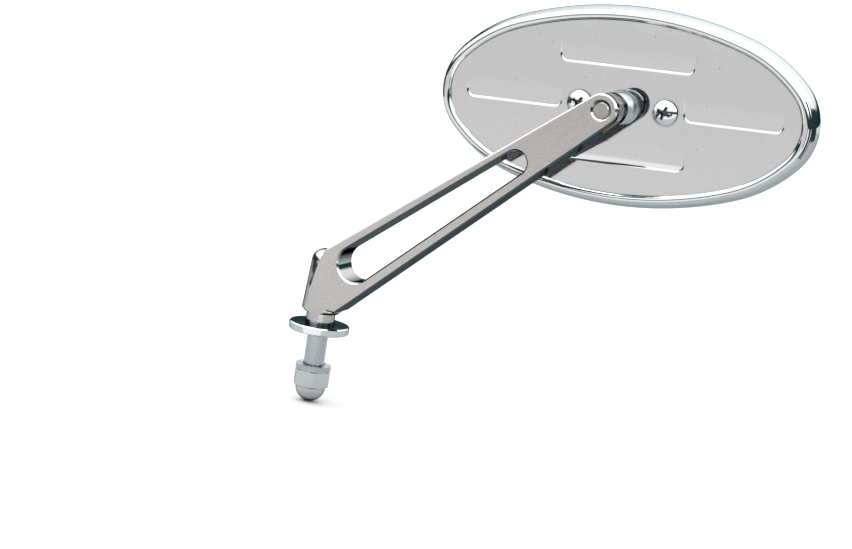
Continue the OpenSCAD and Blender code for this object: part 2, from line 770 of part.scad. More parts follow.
// The seal: a wall round the glass's edge and a foot between the glass and the rib
module glass_seal() {
    color(BLACK) on_head() rim_sweep() {
        translate([-seal_in, glass_back_z]) square([seal_foot_w, seal_foot_t]);
        translate([-seal_out - seal_t, glass_back_z - glass_t]) square([seal_t, glass_t + seal_foot_t]);
    }
}

module mirror_glass() {
    color(GLASS) on_head() translate([0, 0, glass_back_z - glass_t])
        linear_extrude(glass_t) oval(-glass_inset);
}

module foam_pad() {
    color(GREY) on_head() translate([0, 0, glass_back_z]) linear_extrude(pad_t) {
        for (s = [-1, 1]) translate([s * (pad_l - pad_w) / 2, 0]) circle(d = pad_w);
        translate([(pad_w - pad_l) / 2, -pad_w / 2]) square([pad_l - pad_w, pad_w]);
    }
}

arm();
mount_stem();
seat_washer();
lock_washer();
cap_nut();
ball_stud();
lock_nut();
liner_rear();
liner_front();
socket_boss();
pressure_cup();
spring_washer();
clamp_plate();
screw_left();
screw_right();
head_back();
front_ring();
glass_seal();
mirror_glass();
foam_pad();
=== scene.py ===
"""Looks of the motorcycle mirror: its finishes, its thread and its studio."""

import math

import bmesh
import bpy
from bpy.props import FloatProperty, FloatVectorProperty, IntProperty, PointerProperty
from bpy.types import Operator, Panel, PropertyGroup
from mathutils import Matrix, Vector


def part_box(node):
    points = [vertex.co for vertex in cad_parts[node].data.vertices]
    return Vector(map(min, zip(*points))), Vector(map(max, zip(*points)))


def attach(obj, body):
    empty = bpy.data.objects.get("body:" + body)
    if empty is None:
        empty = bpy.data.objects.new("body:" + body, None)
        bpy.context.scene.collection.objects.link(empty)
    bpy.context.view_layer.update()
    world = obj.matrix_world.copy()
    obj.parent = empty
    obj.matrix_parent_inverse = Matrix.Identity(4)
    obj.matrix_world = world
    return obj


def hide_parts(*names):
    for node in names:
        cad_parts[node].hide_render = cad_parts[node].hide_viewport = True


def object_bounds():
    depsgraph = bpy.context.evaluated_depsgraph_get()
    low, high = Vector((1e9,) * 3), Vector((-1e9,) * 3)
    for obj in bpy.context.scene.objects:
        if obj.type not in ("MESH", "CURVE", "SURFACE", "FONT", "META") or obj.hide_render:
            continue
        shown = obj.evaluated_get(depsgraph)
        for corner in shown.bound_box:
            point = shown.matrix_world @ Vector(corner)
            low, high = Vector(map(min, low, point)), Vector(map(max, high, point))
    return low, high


bl_info = {
    "name": "Motorcycle Mirror Looks",
    "version": (1, 0, 0),
    "blender": (4, 5, 0),
    "location": "View3D > Sidebar > Mirror",
    "description": "Dresses the packed mirror in its finishes and sets up its studio",
    "category": "Object",
}

MM = 0.001

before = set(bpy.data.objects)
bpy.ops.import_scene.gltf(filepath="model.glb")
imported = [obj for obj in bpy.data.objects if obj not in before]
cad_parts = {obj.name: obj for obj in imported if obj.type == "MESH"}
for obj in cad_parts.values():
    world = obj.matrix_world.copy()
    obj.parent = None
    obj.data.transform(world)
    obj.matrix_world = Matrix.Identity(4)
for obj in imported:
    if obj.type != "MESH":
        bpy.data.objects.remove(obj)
CAD_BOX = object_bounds()

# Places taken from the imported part
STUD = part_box("ball_stud")
STUD_X = (STUD[0][0] + STUD[1][0]) / 2
STUD_Z = (STUD[0][2] + STUD[1][2]) / 2
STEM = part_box("mount_stem")
ARM_SLOPE = math.radians(41.3)

# The ball's centre, and how far the flat back of the head lies behind it
BALL_Y = 14.7 * MM
BACK_BEHIND_BALL = 3.8 * MM
# The flat back: the ways it faces, runs and rises, and a point of it
HEAD_TURN = Matrix.Rotation(math.radians(4.5), 3, "Z") @ Matrix.Rotation(math.radians(-3.3), 3, "Y")
HEAD_OUT = HEAD_TURN @ Vector((0, -1, 0))
HEAD_ALONG = HEAD_TURN @ Vector((1, 0, 0))
HEAD_UP = HEAD_TURN @ Vector((0, 0, 1))
HEAD_SPOT = Vector((STUD_X, BALL_Y, STUD_Z)) + HEAD_OUT * -BACK_BEHIND_BALL

# Forms that the head's finishes follow: the depth of the louvres and how much their floor curves,
# the distance of each screw from the head's middle, its dome's radius and height over the back
LOUVRE_DEPTH = 1 * MM
LOUVRE_CURVE = 0.36
SCREW_SPREAD = 16 * MM
SCREW_DOME = 6.28 * MM
SCREW_CROWN = 2.9 * MM

# The thread: rows of points on one pitch, and its flat crest and its flank as shares of half a turn
THREAD_ROWS = 14
CREST_FLAT = 0.14
FLANK = 0.72
STEM_CHAMFER = 0.8 * MM

# The photograph in pixels, and where the middle of the neck over the seat washer stands in it
PHOTO_WIDTH = 852
PHOTO_HEIGHT = 549
NECK_COLUMN = 320.5
NECK_ROW = 317
NECK_MIDDLE = Vector((0, 0, 5.25 * MM))
# The camera: how it is turned about the upright, lifted and rolled, its distance and its frame
VIEW_TURN = math.radians(22)
VIEW_LIFT = math.radians(10)
VIEW_ROLL = math.radians(8.8)
VIEW_DISTANCE = 869.4 * MM
FRAME_WIDTH = 36
LENS_PIXELS = 2300


def linear(hex_colour):
    """Turns an sRGB hex colour into the linear colour that the shaders take."""
    parts = [int(hex_colour[i:i + 2], 16) / 255 for i in (1, 3, 5)]
    return tuple(c / 12.92 if c <= 0.04045 else ((c + 0.055) / 1.055) ** 2.4 for c in parts)


def rgba(colour):
    """Adds the full opacity that a shader's colour socket takes."""
    return (colour[0], colour[1], colour[2], 1.0)


# The studio: its dark cloth, the dome at its top and at its edge over the room, and the lamps' aim
FLAG_CLOTH = linear("#12282C")
DOME_TOP = (1.35, 1.35, 1.35, 1)
DOME_EDGE = (0.95, 0.96, 0.96, 1)
DOME_BLEND = 0.1
LAMP_AIM = Vector((0.06, 0, 0.08))

# Chrome turns blue green where it is seen edge on, and sanded alloy turns dark
EDGE_ON = linear("#B6C2C6")
ALLOY_EDGE_ON = linear("#455C64")
# The screws are duller than the plate, and the boss is paler and duller, with narrow corners of
# painted shade
SCREW_ROUGHNESS = 0.16
BOSS_CHROME = linear("#DEE0E1")
BOSS_ROUGHNESS = 0.34
BOSS_SHADE_REACH = 0.4 * MM
# Painted shade: the dark tints of the chrome's corners and screw recesses, mixed with the pressed
# plate's grain and pits, and of the arm's underside and rear, mixed with its grit
CHROME_SHADE_GRAIN_AND_PITS = linear("#0D1D1F")
ALLOY_SHADE_AND_GRIT = linear("#0A1D1F")


# Sizes and colours that a user would change


class MirrorFinishes(PropertyGroup):
    chrome: FloatVectorProperty(
        name="Chrome", description="Colour of the chrome plate",
        default=linear("#D2D3D4"), size=3, subtype="COLOR", min=0, max=1)
    chrome_roughness: FloatProperty(
        name="Chrome roughness", description="Roughness of the polished plate",
        default=0.05, min=0, max=1, subtype="FACTOR")
    alloy: FloatVectorProperty(
        name="Arm alloy", description="Colour of the arm's satin faces",
        default=linear("#D8D4D2"), size=3, subtype="COLOR", min=0, max=1)
    alloy_roughness: FloatProperty(
        name="Arm roughness", description="Roughness of the arm's satin faces",
        default=0.34, min=0, max=1, subtype="FACTOR")
    grain: FloatProperty(
        name="Arm grain", description="Spacing of the sanding lines on the arm's faces",
        default=0.35 * MM, min=0.0001, max=0.002, unit="LENGTH")
    zinc: FloatVectorProperty(
        name="Zinc plate", description="Colour of the zinc-plated steel",
        default=linear("#C4C8CC"), size=3, subtype="COLOR", min=0, max=1)
    glass: FloatVectorProperty(
        name="Glass edge", description="Green of the glass at its cut edge",
        default=linear("#A9C4BC"), size=3, subtype="COLOR", min=0, max=1)


class MirrorThread(PropertyGroup):
    pitch: FloatProperty(
        name="Pitch", description="Distance between two turns of the stem's 18 per inch thread",
        default=25.4 / 18 * MM, min=0.0008, max=0.002, unit="LENGTH")
    depth: FloatProperty(
        name="Depth", description="Depth of the thread's groove",
        default=0.6 * MM, min=0.0002, max=0.0009, unit="LENGTH")
    crest: FloatProperty(
        name="Crest radius", description="Radius of the thread's crests",
        default=3.75 * MM, min=0.003, max=0.0038, unit="LENGTH")
    shank_top: FloatProperty(
        name="Shank top", description="Height of the plain shank's upper end",
        default=-0.3 * MM, min=-0.002, max=0, unit="LENGTH")
    shank_end: FloatProperty(
        name="Shank end", description="Height of the plain shank's lower end",
        default=-12.7 * MM, min=-0.015, max=-0.008, unit="LENGTH")
    steps: IntProperty(
        name="Steps", description="Points on one turn of the thread",
        default=72, min=16, max=128)


class MirrorStudio(PropertyGroup):
    floor: FloatVectorProperty(
        name="Floor", description="Colour of the plain floor",
        default=linear("#D3D3D2"), size=3, subtype="COLOR", min=0, max=1)
    sky: FloatProperty(
        name="Sky", description="Strength of the even light from above",
        default=1.72, min=0, max=5)
    card: FloatVectorProperty(
        name="Card", description="Colour of the grey card that lies before the mirror",
        default=linear("#B4B2B1"), size=3, subtype="COLOR", min=0, max=1)
    under_card: FloatVectorProperty(
        name="Under card", description="Colour of the darker card under and behind the mirror",
        default=linear("#A4A7A8"), size=3, subtype="COLOR", min=0, max=1)
    room: FloatVectorProperty(
        name="Room", description="Colour of the dark room below the dome",
        default=linear("#12343A"), size=3, subtype="COLOR", min=0, max=1)
    room_top: FloatProperty(
        name="Room top", description="Sine of the height at which the dark room ends",
        default=0.2, min=0.01, max=0.8)
    lens: FloatProperty(
        name="Lens", description="Focal length on the 36 mm wide frame",
        default=LENS_PIXELS / PHOTO_WIDTH * FRAME_WIDTH, min=20, max=300)


# Small helpers


def add_node(tree, kind, settings=None, links=None):
    """Adds a node, sets its values and links its inputs."""
    node = tree.nodes.new(kind)
    for key, value in (settings or {}).items():
        if isinstance(key, int) or key in node.inputs:
            node.inputs[key].default_value = value
        else:
            setattr(node, key, value)
    for key, socket in (links or {}).items():
        tree.links.new(socket, node.inputs[key])
    return node


def new_finish(name):
    """Starts a finish and returns it with its tree, its shader and the place on the object."""
    finish = bpy.data.materials.new(name)
    finish.use_nodes = True
    tree = finish.node_tree
    tree.nodes.clear()
    shader = add_node(tree, "ShaderNodeBsdfPrincipled")
    add_node(tree, "ShaderNodeOutputMaterial", links={"Surface": shader.outputs["BSDF"]})
    place = add_node(tree, "ShaderNodeTexCoord").outputs["Object"]
    return finish, tree, shader, place


def dress(node, finish):
    """Gives a node of the part its finish."""
    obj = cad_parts[node]
    for slot in obj.material_slots:
        slot.material = finish
    if not obj.material_slots:
        obj.data.materials.append(finish)


def new_piece(name, mesh_data, body, finish):
    """Makes a piece of the scene that rides on a body of the part."""
    obj = bpy.data.objects.new(name, mesh_data)
    bpy.context.scene.collection.objects.link(obj)
    obj.data.materials.append(finish)
    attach(obj, body)
    return obj


# Finishes


def soft_pressing(tree, place):
    """Height that rounds the pressed louvres: their floor curves out and their edges roll over."""
    spot = add_node(tree, "ShaderNodeVectorMath", {"operation": "SUBTRACT", 1: HEAD_SPOT},
                    {0: place})
    over = add_node(tree, "ShaderNodeVectorMath", {"operation": "DOT_PRODUCT", 1: HEAD_OUT},
                    {0: spot.outputs[0]})
    # 0 on the flat back and 1 at the louvre's lower edge
    deep = add_node(tree, "ShaderNodeMath",
                    {"operation": "MULTIPLY", 1: -1 / LOUVRE_DEPTH, "use_clamp": True},
                    {0: over.outputs["Value"]})
    square = add_node(tree, "ShaderNodeMath", {"operation": "MULTIPLY"},
                      {0: deep.outputs[0], 1: deep.outputs[0]})
    curve = add_node(tree, "ShaderNodeMath", {"operation": "MULTIPLY", 1: LOUVRE_CURVE},
                     {0: square.outputs[0]})
    return add_node(tree, "ShaderNodeMath", {"operation": "SUBTRACT"},
                    {0: deep.outputs[0], 1: curve.outputs[0]}).outputs[0]


def screw_recess_shade(tree, place):
    """Painted shade on a screw's head: 1 on its dome, near 0 in its cross recess and round its edge.
    """
    spot = add_node(tree, "ShaderNodeVectorMath", {"operation": "SUBTRACT", 1: HEAD_SPOT},
                    {0: place}).outputs[0]
    along, rise, out = [
        add_node(tree, "ShaderNodeVectorMath", {"operation": "DOT_PRODUCT", 1: way},
                 {0: spot}).outputs["Value"]
        for way in (HEAD_ALONG, HEAD_UP, HEAD_OUT)]
    # Distance from the nearer screw's axis, squared
    side = add_node(tree, "ShaderNodeMath", {"operation": "ABSOLUTE"}, {0: along})
    side = add_node(tree, "ShaderNodeMath", {"operation": "SUBTRACT", 1: SCREW_SPREAD},
                    {0: side.outputs[0]})
    squares = [add_node(tree, "ShaderNodeMath", {"operation": "MULTIPLY"}, {0: length, 1: length})
               for length in (side.outputs[0], rise)]
    chain = add_node(tree, "ShaderNodeMath", {"operation": "ADD"},
                     {0: squares[0].outputs[0], 1: squares[1].outputs[0]})
    # Height of the dome there: the root of its radius squared less that square
    for operation, number in (("SUBTRACT", SCREW_DOME * SCREW_DOME), ("MULTIPLY", -1.0), ("SQRT", 0.0),
                              ("ADD", SCREW_CROWN - SCREW_DOME)):
        chain = add_node(tree, "ShaderNodeMath", {"operation": operation, 1: number},
                         {0: chain.outputs[0]})
    sunk = add_node(tree, "ShaderNodeMath", {"operation": "SUBTRACT"}, {0: chain.outputs[0], 1: out})
    return add_node(tree, "ShaderNodeMapRange", {"From Min": 0.12 * MM, "From Max": 0.6 * MM,
                    "To Min": 1.0, "To Max": 0.1}, {"Value": sunk.outputs[0]})


def chrome_plate(colour, roughness, name="chrome_plate", pressed=False, shade_reach=2 * MM,
                 screw=False):
    """Polished chrome over buffed metal: mirror bright, with a faint buffing haze."""
    finish, tree, shader, place = new_finish(name)
    shader.inputs["Metallic"].default_value = 1.0
    shader.inputs["Specular Tint"].default_value = rgba(EDGE_ON)
    if screw:
        # The screws get painted shade in their cross recesses and round their heads' edges
        shade_and_grain = screw_recess_shade(tree, place)
    else:
        # Painted shade: narrow corners are darkened by ambient occlusion
        corner = add_node(tree, "ShaderNodeAmbientOcclusion", {"samples": 8, "Distance": shade_reach})
        shade_and_grain = add_node(tree, "ShaderNodeMapRange", {"From Min": 0.35, "From Max": 0.85,
                         "To Min": 0.12, "To Max": 1.0}, {"Value": corner.outputs["AO"]})
    if pressed:
        # Faint grain 0.4 mm wide under the plate, with a pit here and there in cells of 6 mm
        grain = add_node(tree, "ShaderNodeTexNoise",
                         {"Scale": 2.5 / MM, "Detail": 3, "Roughness": 0.7}, {"Vector": place})
        pits = add_node(tree, "ShaderNodeTexVoronoi", {"Scale": 0.16 / MM, "Randomness": 1.0},
                        {"Vector": place})
        pit = add_node(tree, "ShaderNodeMapRange", {"From Min": 0.02, "From Max": 0.05,
                       "To Min": 0.35, "To Max": 1.0}, {"Value": pits.outputs["Distance"]})
        shade = add_node(tree, "ShaderNodeMapRange", {"From Min": 0.3, "From Max": 0.7,
                         "To Min": 0.84, "To Max": 1.0}, {"Value": grain.outputs[0]})
        both = add_node(tree, "ShaderNodeMath", {"operation": "MULTIPLY"},
                        {0: shade.outputs[0], 1: pit.outputs[0]})
        shade_and_grain = add_node(tree, "ShaderNodeMath", {"operation": "MULTIPLY"},
                         {0: both.outputs[0], 1: shade_and_grain.outputs[0]})
    # The dark tint is painted shade in corners and screw recesses, mixed with the pressed plate's
    # grain and pits
    tint = add_node(tree, "ShaderNodeMix", {"data_type": "RGBA", "A": rgba(CHROME_SHADE_GRAIN_AND_PITS),
                    "B": rgba(colour)}, {"Factor": shade_and_grain.outputs[0]})
    tree.links.new(tint.outputs[2], shader.inputs["Base Color"])
    # Patches about 12 mm wide, where the buffing wheel left a little more haze
    haze = add_node(tree, "ShaderNodeTexNoise", {"Scale": 0.08 / MM, "Detail": 3}, {"Vector": place})
    rough = add_node(tree, "ShaderNodeMapRange", {"From Min": 0.3, "From Max": 0.7,
                     "To Min": roughness * 0.6, "To Max": roughness * 1.5}, {"Value": haze.outputs[0]})
    tree.links.new(rough.outputs[0], shader.inputs["Roughness"])
    # Waves about 4 mm long and a few microns high, as the plate shows in a grazing light
    wave = add_node(tree, "ShaderNodeTexNoise", {"Scale": 0.24 / MM, "Detail": 1}, {"Vector": place})
    bump = add_node(tree, "ShaderNodeBump", {"Strength": 0.25, "Distance": 0.004 * MM},
                    {"Height": wave.outputs[0]})
    if pressed:
        bump = add_node(tree, "ShaderNodeBump", {"Strength": 1.0, "Distance": LOUVRE_DEPTH},
                        {"Height": soft_pressing(tree, place), "Normal": bump.outputs[0]})
    tree.links.new(bump.outputs[0], shader.inputs["Normal"])
    return finish


def satin_alloy(colour, roughness, grain):
    """Machined alloy arm: front and rear sanded along its length, edges polished bright."""
    finish, tree, shader, place = new_finish("satin_alloy")
    shader.inputs["Metallic"].default_value = 1.0
    shader.inputs["Specular Tint"].default_value = rgba(ALLOY_EDGE_ON)
    along = add_node(tree, "ShaderNodeMapping", {"vector_type": "POINT",
                     "Rotation": (0, ARM_SLOPE, 0)}, {"Vector": place})
    # Lines one grain apart across the arm and some 25 times as long
    stretch = add_node(tree, "ShaderNodeMapping", {"Scale": (0.04, 1, 1)},
                       {"Vector": along.outputs[0]})
    lines = add_node(tree, "ShaderNodeTexNoise", {"Scale": 1 / grain, "Detail": 2},
                     {"Vector": stretch.outputs[0]})
    # Fine grit between the lines, drawn 0.45 mm wide so that it shows
    grit = add_node(tree, "ShaderNodeTexNoise", {"Scale": 2.2 / MM, "Detail": 3}, {"Vector": place})
    both = add_node(tree, "ShaderNodeMix", {"data_type": "FLOAT", "Factor": 0.75},
                    {"A": lines.outputs[0], "B": grit.outputs[0]})
    surface = add_node(tree, "ShaderNodeNewGeometry")
    facing = add_node(tree, "ShaderNodeSeparateXYZ", links={"Vector": surface.outputs["Normal"]})
    flat = add_node(tree, "ShaderNodeMath", {"operation": "ABSOLUTE"}, {0: facing.outputs["Y"]})
    face = add_node(tree, "ShaderNodeMapRange", {"From Min": 0.94, "From Max": 0.99,
                    "clamp": True}, {"Value": flat.outputs[0]})
    satin = add_node(tree, "ShaderNodeMapRange", {"From Min": 0.3, "From Max": 0.7,
                     "To Min": roughness * 0.85, "To Max": roughness * 1.15},
                     {"Value": both.outputs[0]})
    # Painted shade darkens the underside and the rear, by the way they face, and the grit shows in the
    # colour
    under = add_node(tree, "ShaderNodeMapRange", {"From Min": 0.15, "From Max": -0.45,
                     "To Min": 1.0, "To Max": 0.16}, {"Value": facing.outputs["Z"]})
    rear = add_node(tree, "ShaderNodeMapRange", {"From Min": 0.3, "From Max": 0.8,
                    "To Min": 1.0, "To Max": 0.45}, {"Value": facing.outputs["Y"]})
    speck = add_node(tree, "ShaderNodeMapRange", {"From Min": 0.3, "From Max": 0.7,
                     "To Min": 0.66, "To Max": 1.16, "clamp": False}, {"Value": both.outputs[0]})
    # Painted shade: darker where the arm faces down or to the rear
    dark = add_node(tree, "ShaderNodeMath", {"operation": "MULTIPLY"},
                    {0: under.outputs[0], 1: rear.outputs[0]})
    shade_and_grit = add_node(tree, "ShaderNodeMath", {"operation": "MULTIPLY"},
                    {0: dark.outputs[0], 1: speck.outputs[0]})
    tint = add_node(tree, "ShaderNodeMix", {"data_type": "RGBA", "A": rgba(ALLOY_SHADE_AND_GRIT),
                    "B": rgba(colour), "clamp_factor": False}, {"Factor": shade_and_grit.outputs[0]})
    tree.links.new(tint.outputs[2], shader.inputs["Base Color"])
    rough = add_node(tree, "ShaderNodeMix", {"data_type": "FLOAT", "A": 0.11},
                     {"Factor": face.outputs[0], "B": satin.outputs[0]})
    tree.links.new(rough.outputs[0], shader.inputs["Roughness"])
    strength = add_node(tree, "ShaderNodeMath", {"operation": "MULTIPLY", 1: 0.5},
                        {0: face.outputs[0]})
    bump = add_node(tree, "ShaderNodeBump", {"Distance": 0.03 * MM},
                    {"Height": both.outputs[0], "Strength": strength.outputs[0]})
    tree.links.new(bump.outputs[0], shader.inputs["Normal"])
    return finish


def zinc_plate(colour, name="zinc_plate", dark=0.0):
    """Bright zinc on turned steel: greyer and duller than chrome, with faint mottling."""
    finish, tree, shader, place = new_finish(name)
    shader.inputs["Metallic"].default_value = 1.0
    # Crystals of the plating drawn 1.1 mm wide, far coarser than real, so that they show
    cloud = add_node(tree, "ShaderNodeTexNoise", {"Scale": 0.9 / MM, "Detail": 4}, {"Vector": place})
    pale = rgba([c * (1 - dark) for c in colour])
    deep = rgba([c * (0.78 - 0.7 * dark) for c in colour])
    tint = add_node(tree, "ShaderNodeMix", {"data_type": "RGBA", "A": deep, "B": pale},
                    {"Factor": cloud.outputs[0]})
    tree.links.new(tint.outputs[2], shader.inputs["Base Color"])
    rough = add_node(tree, "ShaderNodeMapRange", {"To Min": 0.2, "To Max": 0.38},
                     {"Value": cloud.outputs[0]})
    tree.links.new(rough.outputs[0], shader.inputs["Roughness"])
    return finish


def moulded_nylon():
    """Natural nylon, moulded: milky white with a soft wax-like sheen."""
    finish, tree, shader, place = new_finish("moulded_nylon")
    # Milky clouds about 1.4 mm wide
    cloud = add_node(tree, "ShaderNodeTexNoise", {"Scale": 0.7 / MM, "Detail": 2}, {"Vector": place})
    tint = add_node(tree, "ShaderNodeMix", {"data_type": "RGBA", "A": rgba(linear("#DEDACB")),
                    "B": rgba(linear("#ECE8DC"))}, {"Factor": cloud.outputs[0]})
    tree.links.new(tint.outputs[2], shader.inputs["Base Color"])
    shader.inputs["Roughness"].default_value = 0.42
    shader.inputs["IOR"].default_value = 1.53
    return finish


def moulded_rubber(name, hex_colour, grain):
    """Black rubber or foam: matt, with the fine grain of its mould."""
    finish, tree, shader, place = new_finish(name)
    cloud = add_node(tree, "ShaderNodeTexNoise", {"Scale": 1 / grain, "Detail": 3},
                     {"Vector": place})
    base = linear(hex_colour)
    tint = add_node(tree, "ShaderNodeMix", {"data_type": "RGBA", "A": rgba([c * 0.7 for c in base]),
                    "B": rgba([min(1, c * 1.5) for c in base])}, {"Factor": cloud.outputs[0]})
    tree.links.new(tint.outputs[2], shader.inputs["Base Color"])
    shader.inputs["Roughness"].default_value = 0.62
    shader.inputs["IOR"].default_value = 1.5
    bump = add_node(tree, "ShaderNodeBump", {"Strength": 0.5, "Distance": 0.04 * MM},
                    {"Height": cloud.outputs[0]})
    tree.links.new(bump.outputs[0], shader.inputs["Normal"])
    return finish


def silvered_glass(edge):
    """Flat glass silvered on its rear: a clean reflection in front, green at the cut edge."""
    finish, tree, shader, place = new_finish("silvered_glass")
    surface = add_node(tree, "ShaderNodeNewGeometry")
    facing = add_node(tree, "ShaderNodeSeparateXYZ", links={"Vector": surface.outputs["Normal"]})
    front = add_node(tree, "ShaderNodeMapRange", {"From Min": 0.5, "From Max": 0.9},
                     {"Value": facing.outputs["Y"]})
    # Dust and fine wiping marks some 3 mm apart
    marks = add_node(tree, "ShaderNodeTexNoise", {"Scale": 0.35 / MM, "Detail": 5}, {"Vector": place})
    wipe = add_node(tree, "ShaderNodeMapRange", {"From Min": 0.4, "From Max": 0.8,
                    "To Min": 0.01, "To Max": 0.05}, {"Value": marks.outputs[0]})
    tint = add_node(tree, "ShaderNodeMix", {"data_type": "RGBA", "A": rgba(edge),
                    "B": rgba(linear("#E4EAE9"))}, {"Factor": front.outputs[0]})
    tree.links.new(tint.outputs[2], shader.inputs["Base Color"])
    tree.links.new(front.outputs[0], shader.inputs["Metallic"])
    tree.links.new(wipe.outputs[0], shader.inputs["Roughness"])
    return finish


# Operators


class MIRROR_OT_dress_arm(Operator):
    """Gives the arm its sanded faces and polished edges"""
    bl_idname = "mirror.dress_arm"
    bl_label = "Dress the arm"

    def execute(self, context):
        look = context.scene.mirror_finishes
        dress("arm", satin_alloy(look.alloy, look.alloy_roughness, look.grain))
        return {"FINISHED"}


class MIRROR_OT_dress_chrome(Operator):
    """Gives the head, the boss, the screws, the seat washer and the cap nut their chrome"""
    bl_idname = "mirror.dress_chrome"
    bl_label = "Dress the chromed pieces"

    def execute(self, context):
        look = context.scene.mirror_finishes
        chrome = chrome_plate(look.chrome, look.chrome_roughness)
        for node in ("front_ring", "seat_washer", "cap_nut"):
            dress(node, chrome)
        heads = chrome_plate(look.chrome, SCREW_ROUGHNESS, "screw_chrome", screw=True)
        for node in ("screw_left", "screw_right"):
            dress(node, heads)
        dress("socket_boss", chrome_plate(BOSS_CHROME, BOSS_ROUGHNESS, "boss_chrome",
                                          shade_reach=BOSS_SHADE_REACH))
        dress("head_back", chrome_plate(look.chrome, look.chrome_roughness, "pressed_chrome",
                                       pressed=True))
        return {"FINISHED"}


class MIRROR_OT_dress_zinc(Operator):
    """Gives the plated steel pieces their zinc, the stud its turned steel and the spring its temper"""
    bl_idname = "mirror.dress_zinc"
    bl_label = "Dress the steel pieces"

    def execute(self, context):
        look = context.scene.mirror_finishes
        zinc = zinc_plate(look.zinc)
        for node in ("lock_washer", "lock_nut", "clamp_plate"):
            dress(node, zinc)
        dress("ball_stud", zinc_plate(linear("#B7B5B3"), "turned_steel"))
        dress("spring_washer", zinc_plate(look.zinc, "tempered_steel", 0.6))
        return {"FINISHED"}


class MIRROR_OT_dress_plastic(Operator):
    """Gives the nylon of the ball joint, the rubber seal and the foam pad their finishes"""
    bl_idname = "mirror.dress_plastic"
    bl_label = "Dress the nylon, rubber and foam"

    def execute(self, context):
        nylon = moulded_nylon()
        for node in ("liner_rear", "liner_front", "pressure_cup"):
            dress(node, nylon)
        dress("glass_seal", moulded_rubber("moulded_rubber", "#1B1B1C", 0.4 * MM))
        dress("foam_pad", moulded_rubber("cut_foam", "#303032", 1.0 * MM))
        return {"FINISHED"}


class MIRROR_OT_dress_glass(Operator):
    """Gives the glass its silver and its green edge"""
    bl_idname = "mirror.dress_glass"
    bl_label = "Dress the glass"

    def execute(self, context):
        dress("mirror_glass", silvered_glass(context.scene.mirror_finishes.glass))
        return {"FINISHED"}


class MIRROR_OT_cut_thread(Operator):
    """Makes the stem with its thread in place of the plain one"""
    bl_idname = "mirror.cut_thread"
    bl_label = "Cut the stem's thread"

    def execute(self, context):
        look = context.scene.mirror_finishes
        cut = context.scene.mirror_thread
        net = bmesh.new()
        rings = [[net.verts.new((radius * math.cos(angle), radius * math.sin(angle), z))
                  for angle, radius in ring] for z, ring in self.rings(cut)]
        for lower, upper in zip(rings, rings[1:]):
            for k in range(cut.steps):
                n = (k + 1) % cut.steps
                net.faces.new((lower[k], lower[n], upper[n], upper[k]))
        net.faces.new(reversed(rings[0]))
        net.faces.new(rings[-1])
        mesh_data = bpy.data.meshes.new("stem_thread")
        net.to_mesh(mesh_data)
        net.free()
        piece = new_piece("stem_thread", mesh_data, "arm_body",
                          zinc_plate(look.zinc, "threaded_zinc"))
        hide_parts("mount_stem")
        return {"FINISHED"}

    def rings(self, cut):
        """Rings of the stem from its lower end up: thread, plain shank, thread."""
        low, high = STEM[0][2], STEM[1][2]
        outer = (STEM[1][0] - STEM[0][0]) / 2
        angles = [2 * math.pi * k / cut.steps for k in range(cut.steps)]
        rings = []
        for start, end in ((low, cut.shank_end), (cut.shank_top, high)):
            rows = round((end - start) / cut.pitch * THREAD_ROWS)
            for row in range(rows + 1):
                z = start + (end - start) * row / rows
                # Both ends of the stem are chamfered
                room = cut.crest - max(0.0, low + STEM_CHAMFER - z, z - high + STEM_CHAMFER)
                ring = []
                for angle in angles:
                    phase = (z / cut.pitch - angle / (2 * math.pi)) % 1.0
                    groove = min(1.0, max(0.0, (abs(2 * phase - 1) - CREST_FLAT) / FLANK))
                    ring.append((angle, min(room, cut.crest - cut.depth * groove)))
                rings.append((z, ring))
            if end == cut.shank_end:
                rings.append((cut.shank_end, [(angle, outer) for angle in angles]))
                rings.append((cut.shank_top, [(angle, outer) for angle in angles]))
        return rings


